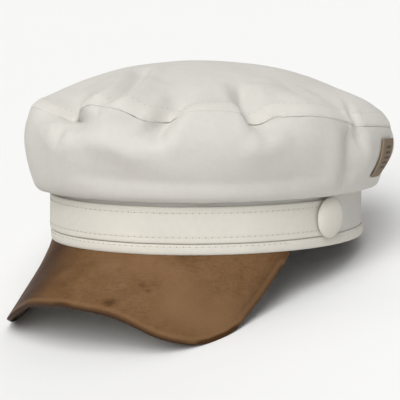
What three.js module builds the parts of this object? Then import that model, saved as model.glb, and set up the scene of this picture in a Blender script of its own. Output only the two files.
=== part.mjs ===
// Captain hat: a soft cloth crown on an upright band, with a strap, two buttons and a leather peak.
// Millimetres, +Z up. The peak points to -Y and the wearer's left is +X.
// Angles run round the band's oval in degrees, 0 at the front and 90 at the wearer's left.
// The hat is modelled level, with the hem's foot at height 0, and then leans back until it rests
// on the peak's edge and the rear of the hem.
import * as THREE from "three";

// Gap between neighbouring pieces
const GAP = 0.3;

// Band: an upright oval ring, measured outside
const BAND_LENGTH = 202.4;
const BAND_WIDTH = 168;
const BAND_HEIGHT = 31;
const BAND_WALL = 2;

// Hem: the folded lower edge of the band
const HEM_HEIGHT = 6.2;
const HEM_WALL = 3.4;
const HEM_PROUD = 1.2;
const HEM_ROUND = 0.84;

// Strap: fills the band's face from the hem up to a strip of bare band, and ends under the buttons
const STRAP_BARE_STRIP = 4.1;
const STRAP_WALL = 1.4;
const STRAP_ROUND = 0.5;
const STRAP_END_ANGLE = 92;

// Buttons: cloth-covered domes over the strap's ends. The back's share is of the button's radius.
const BUTTON_DIAMETER = 23.6;
const BUTTON_DOME = 3.6;
const BUTTON_RIM = 1.6;
const BUTTON_BACK_SHARE = 0.93;
const BUTTON_ANGLE = 88;

// Crown: rises are taken from the side panel's foot
const CROWN_FRONT_RISE = 50;
const CROWN_BACK_RISE = 36;
const CROWN_APEX_RISE = 73;
const CROWN_BULGE = 17;
const CROWN_WALL = 1.8;
const APEX_FORWARD = 8;
const SIDE_SEAM_ANGLE = 89;

// Peak: a leather sheet sewn under the hem
const PEAK_ANGLE = 71;
const PEAK_REACH = 36;
const PEAK_DROP = 45;
const PEAK_WALL = 2.6;
const PEAK_ARCH = 1.8;

// Label: a sewn flag on the left rear of the crown's side
const LABEL_HEIGHT = 23.5;
const LABEL_WIDTH = 15;
const LABEL_WALL = 1;
const LABEL_GAP = 0.6;
const LABEL_ANGLE = 107;
const LABEL_PLACE_SHARE = 0.6;

// How far the soft edges flatten where the hat rests
const REST_FLATTENING = 0.9;

// Half profile of the crown from the band's top (along 0) over the top seam (along 1) to the apex (along 2).
// up: share of the side panel's rise. out: share of the bulge.
const SIDE_PROFILE = [
  { along: 0.0, up: 0.0, out: 0.0 },
  { along: 0.1, up: 0.0, out: 0.22 },
  { along: 0.2, up: 0.02, out: 0.45 },
  { along: 0.32, up: 0.1, out: 0.65 },
  { along: 0.45, up: 0.26, out: 0.81 },
  { along: 0.6, up: 0.47, out: 0.95 },
  { along: 0.75, up: 0.68, out: 1.0 },
  { along: 0.88, up: 0.86, out: 0.96 },
  { along: 1.0, up: 1.0, out: 0.84 },
];

// inward: share of the way from the top seam to the apex. rise: share of the height left over the seam.
const TOP_PROFILE = [
  { inward: 0.0, rise: 0.0 },
  { inward: 0.035, rise: 0.15 },
  { inward: 0.1, rise: 0.27 },
  { inward: 0.2, rise: 0.41 },
  { inward: 0.3, rise: 0.545 },
  { inward: 0.4, rise: 0.68 },
  { inward: 0.5, rise: 0.79 },
  { inward: 0.62, rise: 0.885 },
  { inward: 0.8, rise: 0.965 },
  { inward: 1.0, rise: 1.0 },
];

// Dents and swells of the crown. angle: where the fold crosses the top seam. slant: degrees it turns per unit
// along. along, reach: its middle and half length on the profile. width: half width, a share of half the
// band's width. depth: share of the bulge, below 0 for a swell.
const FOLDS = [
  { angle: -58, slant: 0, along: 0.98, reach: 0.17, width: 0.26, depth: 0.5 },
  { angle: -15, slant: -44, along: 1.02, reach: 0.25, width: 0.17, depth: 1.08 },
  { angle: 26, slant: 22, along: 0.98, reach: 0.2, width: 0.12, depth: 0.5 },
  { angle: 57, slant: -8, along: 1.0, reach: 0.2, width: 0.12, depth: 0.62 },
  { angle: 89, slant: 0, along: 0.9, reach: 0.34, width: 0.08, depth: 0.2 },
  { angle: 128, slant: 0, along: 0.98, reach: 0.18, width: 0.2, depth: 0.25 },
  { angle: 170, slant: 25, along: 1.0, reach: 0.26, width: 0.16, depth: 0.4 },
  { angle: -118, slant: -20, along: 1.04, reach: 0.26, width: 0.15, depth: 0.46 },
  { angle: -150, slant: 15, along: 0.96, reach: 0.22, width: 0.13, depth: 0.3 },
  { angle: 2, slant: 0, along: 1.22, reach: 0.2, width: 0.28, depth: -0.16 },
  { angle: 71, slant: 0, along: 1.14, reach: 0.18, width: 0.16, depth: -0.2 },
  { angle: 104, slant: 0, along: 1.14, reach: 0.16, width: 0.34, depth: -0.18 },
  { angle: 112, slant: 0, along: 0.75, reach: 0.3, width: 0.24, depth: -0.22 },
  { angle: 118, slant: 0, along: 0.38, reach: 0.16, width: 0.4, depth: 0.13 },
  { angle: -54, slant: 0, along: 0.2, reach: 0.1, width: 0.5, depth: -0.12 },
  { angle: 126, slant: 0, along: 0.2, reach: 0.1, width: 0.5, depth: -0.12 },
  { angle: -140, slant: 0, along: 0.2, reach: 0.1, width: 0.4, depth: -0.15 },
];

// Where the folds begin over the band and where they fade before the apex, on the same profile
const FOLDS_BEGIN_SHARE = 0.12;
const FOLDS_FADE_SHARE = 1.4;
const FOLDS_END_SHARE = 1.9;

// Outer edge of the peak from its middle to its end.
// share: of the peak's angle. reach: share of PEAK_REACH. drop: share of PEAK_DROP.
const PEAK_EDGE = [
  { share: 0.0, reach: 1.0, drop: 0.55 },
  { share: 0.2, reach: 0.94, drop: 0.64 },
  { share: 0.4, reach: 0.88, drop: 0.92 },
  { share: 0.6, reach: 0.53, drop: 0.98 },
  { share: 0.8, reach: 0.14, drop: 0.6 },
  { share: 1.0, reach: 0.01, drop: 0.035 },
];

// Mesh steps
const ROUND_STEPS = 72;
const CROWN_STEPS = 88;
const PEAK_STEPS = 40;
const BUTTON_SIDES = 24;
const DOME_STEPS = [0, 0.2, 0.42, 0.64, 0.84];
const SIDE_STEPS = [0, 0.08, 0.16, 0.25, 0.36, 0.48, 0.6, 0.72, 0.83, 0.92, 1];
const TOP_STEPS = [0, 0.035, 0.09, 0.17, 0.27, 0.39, 0.53, 0.69, 0.85];
const PEAK_ROWS = [0, 0.12, 0.3, 0.5, 0.7, 0.88, 1];
const LABEL_STEPS = 4;
const PACE_STEP = 0.1;
const NORMAL_STEP = 0.02;
const FOLD_NORMAL_STEP = 0.22;

const radians = THREE.MathUtils.degToRad;
const smoothstep = THREE.MathUtils.smoothstep;

// Reads a column of a table at x by a smooth curve through its rows.
function follow(table, key, column, x) {
  let i = 0;
  while (i < table.length - 2 && x > table[i + 1][key]) i++;
  const slope = (j) => {
    const before = table[Math.max(j - 1, 0)];
    const after = table[Math.min(j + 1, table.length - 1)];
    return (after[column] - before[column]) / (after[key] - before[key]);
  };
  const span = table[i + 1][key] - table[i][key];
  const s = (x - table[i][key]) / span;
  const s2 = s * s;
  const s3 = s2 * s;
  return (
    table[i][column] * (2 * s3 - 3 * s2 + 1) +
    table[i + 1][column] * (3 * s2 - 2 * s3) +
    slope(i) * span * (s3 - 2 * s2 + s) +
    slope(i + 1) * span * (s3 - s2)
  );
}

// A point beside the band's oval: out is the distance from the band's outer face.
function besideBand(angle, out, height) {
  const a = BAND_LENGTH / 2;
  const b = BAND_WIDTH / 2;
  const t = radians(angle);
  const normal = new THREE.Vector3(a * Math.sin(t), -b * Math.cos(t), 0).normalize();
  return new THREE.Vector3(b * Math.sin(t), -a * Math.cos(t), height).addScaledVector(normal, out);
}

// Rise of the top seam over the band's top.
function seamRise(angle) {
  const middle = (CROWN_FRONT_RISE + CROWN_BACK_RISE) / 2;
  const lean = (CROWN_FRONT_RISE - CROWN_BACK_RISE) / 2;
  return middle + lean * Math.cos(radians(angle));
}

// The crown's outer surface before its folds: along runs from 0 at the band to 2 at the apex. The side
// panel starts on the band's outer face, level with the band's top.
function plainCrown(angle, along) {
  const foot = BAND_HEIGHT - CROWN_WALL;
  const seam = foot + seamRise(angle);
  if (along <= 1) {
    const out = GAP + CROWN_BULGE * follow(SIDE_PROFILE, "along", "out", along);
    return besideBand(angle, out, foot + seamRise(angle) * follow(SIDE_PROFILE, "along", "up", along));
  }
  const inward = along - 1;
  const edge = besideBand(angle, GAP + CROWN_BULGE * SIDE_PROFILE.at(-1).out, seam);
  const apex = new THREE.Vector3(0, -APEX_FORWARD, foot + CROWN_APEX_RISE);
  const point = edge.clone().lerp(apex, inward);
  point.z = seam + (apex.z - seam) * follow(TOP_PROFILE, "inward", "rise", inward);
  return point;
}

// How deep the folds press the crown in at a place, in millimetres.
function foldDepth(angle, along) {
  const radius = along > 1 ? 2 - along : 1;
  let depth = 0;
  for (const fold of FOLDS) {
    const middle = fold.angle + fold.slant * (along - 1);
    const turn = THREE.MathUtils.euclideanModulo(angle - middle + 180, 360) - 180;
    const across = (radians(turn) * radius) / fold.width;
    const lengthwise = (along - fold.along) / fold.reach;
    depth += fold.depth * Math.exp(-across * across - lengthwise * lengthwise);
  }
  const begun = smoothstep(along, 0, FOLDS_BEGIN_SHARE);
  const faded = smoothstep(along, FOLDS_FADE_SHARE, FOLDS_END_SHARE);
  return CROWN_BULGE * depth * begun * (1 - faded);
}

// Outward normal of a surface given as a function of an angle and a second measure, taken over a step.
function normalOf(surface, angle, along, step = NORMAL_STEP) {
  const around = surface(angle + step, along).sub(surface(angle - step, along));
  const up = surface(angle, along + step).sub(surface(angle, Math.max(along - step, 0)));
  return around.cross(up).normalize();
}

// The crown's outer surface with its folds. They press along a normal taken over a wide step, so that a
// deep fold doesn't cross itself at the top seam's corner.
function crownSurface(angle, along) {
  const point = plainCrown(angle, along);
  const inwards = normalOf(plainCrown, angle, Math.min(along, FOLDS_END_SHARE), FOLD_NORMAL_STEP);
  return point.addScaledVector(inwards, -foldDepth(angle, along));
}

// A wall from rows of outer points and rows of inner points. Rows run upwards, and each goes
// anticlockwise seen from above. A ring closes on itself, and an apex closes the last row. The edges
// of the first and last rows are split along like diagonals, so that two walls fit at a twisted seam.
function wall(outer, inner, { ring = false, apex = null } = {}) {
  const rows = outer.length;
  const columns = outer[0].length;
  const points = [...outer.flat(), ...inner.flat()];
  const faces = [];
  const out = (i, j) => i * columns + (j % columns);
  const back = (i, j) => rows * columns + out(i, j);
  const quad = (a, b, c, d) => faces.push(a, b, c, a, c, d);
  const steps = ring ? columns : columns - 1;
  for (let j = 0; j < steps; j++) {
    for (let i = 0; i < rows - 1; i++) {
      quad(out(i, j), out(i, j + 1), out(i + 1, j + 1), out(i + 1, j));
      quad(back(i, j + 1), back(i, j), back(i + 1, j), back(i + 1, j + 1));
    }
    quad(out(0, j + 1), out(0, j), back(0, j), back(0, j + 1));
    if (!apex) quad(out(rows - 1, j + 1), back(rows - 1, j + 1), back(rows - 1, j), out(rows - 1, j));
  }
  if (apex) {
    const tip = points.push(...apex) - 2;
    for (let j = 0; j < steps; j++) {
      faces.push(out(rows - 1, j), out(rows - 1, j + 1), tip);
      faces.push(back(rows - 1, j + 1), back(rows - 1, j), tip + 1);
    }
  }
  if (!ring) {
    for (let i = 0; i < rows - 1; i++) {
      quad(out(i, 0), out(i + 1, 0), back(i + 1, 0), back(i, 0));
      quad(out(i + 1, steps), out(i, steps), back(i, steps), back(i + 1, steps));
    }
  }
  return solid(points, faces);
}

// A body of the same section carried round the band. The section lists [out, height] corners,
// anticlockwise seen with the outside to the right. A ring runs all the way round.
function swept(section, from, to, steps, ring = false) {
  const corners = section.length;
  const stops = ring ? steps : steps + 1;
  const points = [];
  const faces = [];
  for (let i = 0; i < stops; i++) {
    const angle = from + ((to - from) * i) / steps;
    for (const [out, height] of section) points.push(besideBand(angle, out, height));
  }
  const at = (i, j) => (i % stops) * corners + (j % corners);
  for (let i = 0; i < steps; i++) {
    for (let j = 0; j < corners; j++) {
      faces.push(at(i, j), at(i + 1, j), at(i + 1, j + 1), at(i, j), at(i + 1, j + 1), at(i, j + 1));
    }
  }
  if (!ring) {
    for (let j = 1; j < corners - 1; j++) {
      faces.push(at(0, 0), at(0, j), at(0, j + 1));
      faces.push(at(steps, 0), at(steps, j + 1), at(steps, j));
    }
  }
  return solid(points, faces);
}

function solid(points, faces) {
  const geometry = new THREE.BufferGeometry().setFromPoints(points.map(aboveRest));
  geometry.setIndex(faces);
  geometry.computeVertexNormals();
  return geometry;
}

// Outer edge of the peak at a share of its angle, on either side.
function peakEdge(share) {
  const side = Math.abs(share);
  const reach = PEAK_REACH * follow(PEAK_EDGE, "share", "reach", side);
  const drop = PEAK_DROP * follow(PEAK_EDGE, "share", "drop", side);
  return besideBand(share * PEAK_ANGLE, reach, -GAP - drop);
}

// The peak's upper face: down runs from 0 at the hem to 1 at the edge, and arches a little on the way.
function peakSurface(angle, down) {
  const share = angle / PEAK_ANGLE;
  const root = besideBand(angle, 0, -GAP);
  const point = root.clone().lerp(peakEdge(share), down);
  const arch = PEAK_ARCH * 4 * down * (1 - down) * Math.cos((share * Math.PI) / 2);
  return point.addScaledVector(new THREE.Vector3(0, -Math.SQRT1_2, Math.SQRT1_2), arch);
}

// The lean at which the peak's edge and the rear of the hem stand on one level.
function leanAngle() {
  const rear = BAND_LENGTH / 2;
  let steepest = 0;
  for (let i = 0; i <= PEAK_STEPS; i++) {
    const edge = peakEdge(i / PEAK_STEPS);
    steepest = Math.max(steepest, Math.atan2(-edge.z, rear - edge.y));
  }
  return steepest;
}
const LEAN = leanAngle();
const RISE = new THREE.Vector3(0, -Math.sin(LEAN), Math.cos(LEAN));
const REST_LEVEL = RISE.dot(new THREE.Vector3(0, BAND_LENGTH / 2, 0)) + REST_FLATTENING;

// Lifts a point that would lie under the surface the hat rests on.
function aboveRest(point) {
  const sunk = REST_LEVEL - RISE.dot(point);
  return sunk > 0 ? point.clone().addScaledVector(RISE, sunk) : point;
}

// A wall of the crown at the given steps. Each step is drawn back from the seams by its gap, but keeps the
// normal it had, so that two panels stand parallel where they meet.
function crownWall(angles, steps, drawnBack, options) {
  const outer = steps.map((along) => angles.map((angle) => crownSurface(...drawnBack(angle, along))));
  const inner = steps.map((along, i) =>
    angles.map((angle, j) =>
      outer[i][j].clone().addScaledVector(normalOf(crownSurface, angle, along), -CROWN_WALL),
    ),
  );
  return wall(outer, inner, options);
}

function spread(from, to, steps) {
  return Array.from({ length: steps + 1 }, (_, i) => from + ((to - from) * i) / steps);
}

// Angles of the side panel between two seams, which the top panel shares so that their edges run alike
const FRONT_ANGLES = spread(-SIDE_SEAM_ANGLE, SIDE_SEAM_ANGLE, CROWN_STEPS / 2);
const BACK_ANGLES = spread(SIDE_SEAM_ANGLE, 360 - SIDE_SEAM_ANGLE, CROWN_STEPS / 2);

function sidePanel(angles) {
  const seamGap = THREE.MathUtils.radToDeg(GAP / BAND_WIDTH);
  const topGap = GAP / 2 / CROWN_FRONT_RISE;
  const drawnBack = (angle, along) => [
    Math.min(Math.max(angle, angles[0] + seamGap), angles.at(-1) - seamGap),
    Math.min(along, 1 - topGap),
  ];
  return crownWall(angles, SIDE_STEPS, drawnBack);
}

function topPanel() {
  const seamGap = GAP / BAND_WIDTH;
  const angles = [...FRONT_ANGLES.slice(0, -1), ...BACK_ANGLES.slice(0, -1)];
  const steps = TOP_STEPS.map((step) => 1 + step);
  const drawnBack = (angle, along) => [angle, Math.max(along, 1 + seamGap)];
  const apex = plainCrown(0, 2);
  const apexInside = apex.clone();
  apexInside.z -= CROWN_WALL;
  return crownWall(angles, steps, drawnBack, { ring: true, apex: [apex, apexInside] });
}

// Band, hem and strap
function bandRing() {
  const foot = HEM_HEIGHT + GAP;
  const section = [
    [-BAND_WALL, foot],
    [0, foot],
    [0, BAND_HEIGHT],
    [-BAND_WALL, BAND_HEIGHT],
  ];
  return swept(section, 0, 360, ROUND_STEPS, true);
}

function hemRing() {
  const inside = HEM_PROUD - HEM_WALL;
  const round = Math.min(HEM_ROUND, HEM_PROUD);
  const section = [
    [inside, 0],
    [HEM_PROUD - round, 0],
    [HEM_PROUD, round],
    [HEM_PROUD, HEM_HEIGHT - round],
    [HEM_PROUD - round, HEM_HEIGHT],
    [inside, HEM_HEIGHT],
  ];
  return swept(section, 0, 360, ROUND_STEPS, true);
}

function frontStrap() {
  const low = HEM_HEIGHT + GAP;
  const high = BAND_HEIGHT - STRAP_BARE_STRIP;
  const round = Math.min(STRAP_ROUND, STRAP_WALL);
  const face = GAP + STRAP_WALL;
  const section = [
    [GAP, low],
    [face - round, low],
    [face, low + round],
    [face, high - round],
    [face - round, high],
    [GAP, high],
  ];
  return swept(section, -STRAP_END_ANGLE, STRAP_END_ANGLE, ROUND_STEPS / 2);
}

// A covered button: a lathe round its own axis, with its back on the strap
function coveredButton() {
  const radius = BUTTON_DIAMETER / 2;
  const profile = [new THREE.Vector2(0, 0), new THREE.Vector2(radius * BUTTON_BACK_SHARE, 0)];
  const belly = BUTTON_RIM / 2;
  for (const rise of DOME_STEPS) {
    const shrink = Math.sqrt(1 - rise * rise);
    profile.push(new THREE.Vector2(radius * shrink, belly + (belly + BUTTON_DOME) * rise));
  }
  profile.push(new THREE.Vector2(0, BUTTON_RIM + BUTTON_DOME));
  return new THREE.LatheGeometry(profile, BUTTON_SIDES);
}

function placeButton(mesh, side) {
  const height = (HEM_HEIGHT + GAP + BAND_HEIGHT - STRAP_BARE_STRIP) / 2;
  const seat = besideBand(side * BUTTON_ANGLE, GAP + STRAP_WALL + GAP, height);
  const outside = besideBand(side * BUTTON_ANGLE, CROWN_BULGE, height);
  mesh.position.copy(seat);
  mesh.quaternion.setFromUnitVectors(new THREE.Vector3(0, 1, 0), outside.sub(seat).normalize());
}

// Peak
function peakSheet() {
  const angles = spread(-PEAK_ANGLE, PEAK_ANGLE, PEAK_STEPS);
  const rows = PEAK_ROWS.slice().reverse();
  const outer = rows.map((down) => angles.map((angle) => peakSurface(angle, down)));
  const up = (angle, down) => peakSurface(angle, 1 - down);
  const inner = rows.map((down, i) =>
    angles.map((angle, j) => {
      const normal = normalOf(up, angle, 1 - down);
      return outer[i][j].clone().addScaledVector(normal, -PEAK_WALL);
    }),
  );
  return wall(outer, inner);
}

// Label, laid on the side panel
function sideLabel() {
  const half = THREE.MathUtils.radToDeg(LABEL_WIDTH / (BAND_LENGTH + 2 * CROWN_BULGE));
  const angles = spread(LABEL_ANGLE - half, LABEL_ANGLE + half, LABEL_STEPS);
  const middle = LABEL_PLACE_SHARE;
  const above = crownSurface(LABEL_ANGLE, middle + PACE_STEP);
  const below = crownSurface(LABEL_ANGLE, middle - PACE_STEP);
  const pace = above.distanceTo(below) / (2 * PACE_STEP);
  const reach = LABEL_HEIGHT / pace / 2;
  const alongs = spread(middle - reach, middle + reach, LABEL_STEPS);
  const layer = (distance) =>
    alongs.map((along) =>
      angles.map((angle) =>
        crownSurface(angle, along).addScaledVector(normalOf(crownSurface, angle, along), distance),
      ),
    );
  return wall(layer(LABEL_GAP + LABEL_WALL), layer(LABEL_GAP));
}

const cloth = () => new THREE.MeshStandardMaterial({ color: 0xdedbd0, roughness: 0.9, metalness: 0 });
const leather = () => new THREE.MeshStandardMaterial({ color: 0x80603f, roughness: 0.5, metalness: 0 });
const woven = () => new THREE.MeshStandardMaterial({ color: 0x8c7d69, roughness: 0.85, metalness: 0 });

const hat = new THREE.Group();

function add(name, geometry, material) {
  const mesh = new THREE.Mesh(geometry, material);
  mesh.name = name;
  hat.add(mesh);
  return mesh;
}

add("crown_top", topPanel(), cloth());
add("crown_side_front", sidePanel(FRONT_ANGLES), cloth());
add("crown_side_back", sidePanel(BACK_ANGLES), cloth());
add("band", bandRing(), cloth());
add("hem", hemRing(), cloth());
add("strap", frontStrap(), cloth());
placeButton(add("button_left", coveredButton(), cloth()), 1);
placeButton(add("button_right", coveredButton(), cloth()), -1);
add("peak", peakSheet(), leather());
add("side_label", sideLabel(), woven());

// Lean back onto the surface and centre the hat over the origin
hat.rotation.x = -LEAN;
const root = new THREE.Group();
root.add(hat);
const box = new THREE.Box3().setFromObject(root, true);
hat.position.set(-(box.min.x + box.max.x) / 2, -(box.min.y + box.max.y) / 2, -box.min.z);

export default root;
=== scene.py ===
"""Captain hat: dresses the hat's solids in cloth and leather, with its seams, stitches and folds.

Lengths are metres. The hat's own frame has +Z up through the band, -Y to the peak and +X to the
wearer's left. Angles run round the band in degrees, 0 at the front and 90 at the wearer's left.
"""

import math

import bmesh
import bpy
import numpy as np
from bpy.props import FloatProperty, FloatVectorProperty, PointerProperty
from mathutils import Matrix, Vector, noise
from mathutils.bvhtree import BVHTree
from mathutils.kdtree import KDTree


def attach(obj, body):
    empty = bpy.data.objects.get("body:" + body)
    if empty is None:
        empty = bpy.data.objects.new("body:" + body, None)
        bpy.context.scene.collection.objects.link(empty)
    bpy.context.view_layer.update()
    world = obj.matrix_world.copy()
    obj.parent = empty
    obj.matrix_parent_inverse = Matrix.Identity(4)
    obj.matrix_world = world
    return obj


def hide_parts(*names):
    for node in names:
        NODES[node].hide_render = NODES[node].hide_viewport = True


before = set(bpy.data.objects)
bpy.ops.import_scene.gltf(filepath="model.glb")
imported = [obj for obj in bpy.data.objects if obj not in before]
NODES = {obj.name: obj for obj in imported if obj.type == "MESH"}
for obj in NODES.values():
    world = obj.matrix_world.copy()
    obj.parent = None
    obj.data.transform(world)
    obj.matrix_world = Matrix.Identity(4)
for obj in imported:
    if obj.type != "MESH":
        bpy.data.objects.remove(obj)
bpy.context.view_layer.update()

bl_info = {
    "name": "Captain Hat",
    "version": (1, 0, 0),
    "blender": (4, 5, 0),
    "location": "View3D > Sidebar > Captain Hat",
    "description": "Dresses a captain hat in cloth and leather",
    "category": "Object",
}

CROWN_NODES = ("crown_top", "crown_side_front", "crown_side_back")
MM = 0.001
PHOTO_SIDE = 400

# Points of a mesh that are closer than this are one point
SAME_POINT = 0.01 * MM

# Seams: the gap that still counts as one, the thickest cloth beside it, the spacing of its points, and the
# longest step along it
SEAM_GAP = 0.8 * MM
SEAM_CLOTH = 2.4 * MM
SEAM_SPACING = 0.8 * MM
SEAM_STEP = 12 * MM

# How far from the top seam the cloth slides with it, how many faces share a direction there, and how much
# the cloth faces the camera, as a cosine, where it starts to slide and where it slides in full
SLIDE_REACH = 17 * MM
SLIDE_FACES = 90
SLIDE_SEEN = (-0.1, 0.15)

# Width of the painted shade along a seam's crease, and size and depth of the cord of cloth that fills the
# seam from behind
SEAM_SHADE_WIDTH = 0.6 * MM
WELT_RADIUS = 0.58 * MM
WELT_DEPTH = 0.66 * MM

# Folds reach this many half widths, and fade out over this share of their length at either end
FOLD_REACH = 4.5
FOLD_END = 0.25

# A fold that presses in: how sharp it is, and how high and how many half widths away the cloth swells
FOLD_SHARPNESS = 1.3
SWELL_HEIGHT = 0.3
SWELL_PLACE = 2.4

# Rise of the doubled cloth beside the seam and half the width of its edge
DOUBLED_RISE = 0.3 * MM
DOUBLED_EDGE = 0.7 * MM

# Puckers: how far they reach, about how many run in one radian of the seam, and the size of the others
PUCKER_REACH = 11 * MM
PUCKERS = 100
PUCKER_SIZE = 5 * MM

# Gathers: about how many run in one radian, how long they are, and the heights over the band up to which
# they are full and at which they are gone
GATHERS = 9
GATHER_LENGTH = 50 * MM
GATHER_HEIGHTS = (3 * MM, 20 * MM)

# Uneven surfaces: height and size of their clouds, and the seed
UNEVEN_CROWN = ((0.5 * MM, 30 * MM, 8), (0.16 * MM, 9 * MM, 9))
UNEVEN_BAND = (0.12 * MM, 14 * MM, 12)
UNEVEN_STRAP = (0.1 * MM, 12 * MM, 15)
UNEVEN_PEAK = (0.1 * MM, 10 * MM, 21)

# Shape of a stitch and of the dark body of painted shade in a needle hole, as shares of the thread's and
# the hole's width
STITCH_HEIGHT = 0.55
HOLE_SHAPE = (1.0, 0.9, 0.6)

# The strap's stitches press a groove of this depth and half width, and lie this deep in it
GROOVE_DEPTH = 0.12 * MM
GROOVE_HALF = 0.8 * MM
STRAP_STITCH_DEPTH = 0.05 * MM

# Degrees round the band at which the peak's outer edge is read
PEAK_SPAN = 72
PEAK_STEP = 3.6

# The studio: side of the floor, how wide each light is, how bright the air is, how bright the backdrop
# looks, and the camera's sensor width in millimetres and reach
FLOOR_SIDE = 12
LIGHT_WIDTH = math.radians(38)
AIR_LIGHT = 0.34
BACKDROP_LIGHT = 0.9
SENSOR_WIDTH = 36
CAMERA_REACH = 20

# Folds of the crown, sharper than the solids have them. Each runs through points of the 400 by 400
# photo. width is the half width, height how far it stands out or, below zero, presses in, in millimetres.
FOLDS = [
    {"path": ((48, 149), (60, 140), (72, 129), (83, 117), (92, 106)), "width": 3.2, "height": -3.2},
    {"path": ((84, 116), (97, 105), (116, 96), (131, 84), (147, 66)), "width": 3.8, "height": -5.4},
    {"path": ((70, 128), (79, 120), (88, 112), (98, 108)), "width": 3.6, "height": 1.8},
    {"path": ((150, 150), (158, 136), (168, 121), (186, 101)), "width": 4.4, "height": -4.4},
    {"path": ((240, 82), (243, 102), (251, 122), (262, 138)), "width": 4.2, "height": -4.0},
    {"path": ((282, 80), (297, 92), (314, 96)), "width": 5.0, "height": -1.2},
    {"path": ((345, 97), (351, 112), (357, 127), (363, 145), (368, 156)), "width": 2.0, "height": -2.2},
    {"path": ((350, 124), (352, 145), (351, 165), (348, 188)), "width": 6.5, "height": -4.0},
    {"path": ((60, 118), (76, 100), (94, 88), (112, 80)), "width": 7.0, "height": 1.6},
    {"path": ((112, 124), (128, 105), (146, 90), (164, 79)), "width": 9.0, "height": 2.4},
    {"path": ((258, 82), (263, 96), (270, 110), (272, 124)), "width": 8.0, "height": 2.2},
    {"path": ((34, 123), (46, 134), (62, 141), (90, 142), (112, 146), (128, 153), (141, 154), (152, 149),
              (164, 138)),
     "width": 6.5, "height": 3.2},
    {"path": ((244, 138), (256, 148), (267, 149), (279, 141), (294, 131)), "width": 6.5, "height": 2.2},
    {"path": ((48, 168), (90, 178), (140, 184), (200, 187), (260, 185), (310, 179), (345, 172)),
     "width": 10.0, "height": -3.2},
]

# How far the top seam sits above its line on the solids, in millimetres, at columns of the photo
SEAM_LIFT = [
    (30, 0.0), (57, 3.6), (76, 5.0), (95, 4.6), (108, 2.0), (122, 0.8), (140, -1.4), (152, -0.8),
    (161, 1.2), (173, 4.2), (185, 4.2), (245, 5.0), (260, 3.0), (277, 4.6), (300, 1.6), (345, 0.0),
    (354, -3.0), (368, -5.0), (388, -7.0),
]

# Darker and lighter places of the leather, through points of the photo: half width in millimetres, and how
# much darker or, below zero, lighter they are. The small ones are spots and scratches, the broad dark one
# darkens the left side, a lighter band runs across the middle, and the broad light one at the bottom is
# painted sheen.
MARKS_AND_SHEEN = [
    {"path": ((12, 314), (30, 290), (44, 268), (56, 250)), "width": 19.0, "tone": 0.95},
    {"path": ((286, 256), (270, 284), (250, 312), (236, 328)), "width": 6.0, "tone": 0.6},
    {"path": ((107, 303), (112, 302)), "width": 2.4, "tone": 0.75},
    {"path": ((172, 258), (190, 259)), "width": 5.0, "tone": 0.4},
    {"path": ((141, 284), (145, 288), (150, 292)), "width": 0.8, "tone": 0.8},
    {"path": ((152, 285), (162, 284)), "width": 1.0, "tone": 0.5},
    {"path": ((108, 262), (150, 266), (184, 280)), "width": 10.0, "tone": -0.5},
    # Painted sheen: the pale greyish sheen on the peak's low part
    {"path": ((176, 306), (200, 318), (222, 322)), "width": 13.0, "tone": -0.9},
]

# The wide soft lights. turn is the angle from the front to the wearer's left and rise the angle over the
# floor, in degrees.
LIGHTS = [
    {"name": "front_light", "turn": 20, "rise": 41, "strength": 1.5, "colour": (1.0, 0.99, 0.97)},
    {"name": "top_light", "turn": 36, "rise": 68, "strength": 1.28, "colour": (0.98, 0.99, 1.0)},
    {"name": "right_light", "turn": -70, "rise": 50, "strength": 0.28, "colour": (1.0, 0.95, 0.85)},
    {"name": "rear_light", "turn": -165, "rise": 28, "strength": 0.42, "colour": (1.0, 0.99, 0.97)},
]

# Rows of topstitching on the crown's top panel, and how far they are from the seam in millimetres
CROWN_ROWS = [
    {"name": "crown_topstitch_upper", "from_seam": 8.4, "fineness": 0.75},
    {"name": "crown_topstitch_lower", "from_seam": 1.3, "fineness": 0.5},
]


def length(name, description, default):
    return FloatProperty(name=name, description=description, default=default, unit="LENGTH")


def angle(name, description, degrees):
    return FloatProperty(name=name, description=description, default=math.radians(degrees), subtype="ANGLE")


def tint(name, description, default):
    return FloatVectorProperty(name=name, description=description, default=default, subtype="COLOR", size=3)


class HatSizes(bpy.types.PropertyGroup):
    """Sizes of the hat's finish."""

    edge_round: length("Edge rounding", "Rounding of a cloth edge", 0.5 * MM)
    strap_edge_round: length("Strap rounding", "Rounding of the strap's and buttons' edges", 0.3 * MM)
    label_edge_round: length("Label rounding", "Rounding of the label's edges", 0.2 * MM)
    peak_edge_round: length("Peak rounding", "Rounding of the turned leather edge", 1.25 * MM)
    stitch_pitch: length("Stitch pitch", "From one needle hole to the next", 3.6 * MM)
    stitch_gap: length("Stitch gap", "Bare cloth at each needle hole", 0.9 * MM)
    thread: length("Thread", "Width of the sewing thread", 0.4 * MM)
    hole: length("Needle hole", "Width of a needle hole", 0.62 * MM)
    seam_allowance: length("Seam allowance", "Width of the doubled cloth beside the top seam", 8.4 * MM)
    pucker: length("Seam pucker", "Height of the small puckers along the top seam", 0.32 * MM)
    gather: length("Gather", "Height of the soft gathers over the band", 0.35 * MM)
    strap_row: length("Strap stitch row", "From the strap's edge to its stitches", 3.5 * MM)
    strap_row_span: angle("Strap stitch span", "Angle that the strap's stitches reach on either side", 84)
    hem_row: length("Hem stitch row", "From the hem's top to its stitches", 1.4 * MM)
    hem_row_span: angle("Hem stitch span", "Angle that the hem's stitches reach on either side", 71)
    camera_turn: angle("Camera turn", "Angle of the view from the front to the wearer's left", 36)
    camera_rise: angle("Camera rise", "Angle of the view over the band's plane", 6.45)
    camera_roll: angle("Camera roll", "Roll of the view", 0.42)
    camera_distance: length("Camera distance", "From the band's middle to the camera", 1.45)
    camera_lens: FloatProperty(
        name="Camera lens", description="Focal length in millimetres", default=222.3)
    aim_right: length("Aim right", "How far right of the band's middle the view is aimed", -5.1 * MM)
    aim_up: length("Aim up", "How far above the band's middle the view is aimed", 19.9 * MM)


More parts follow.
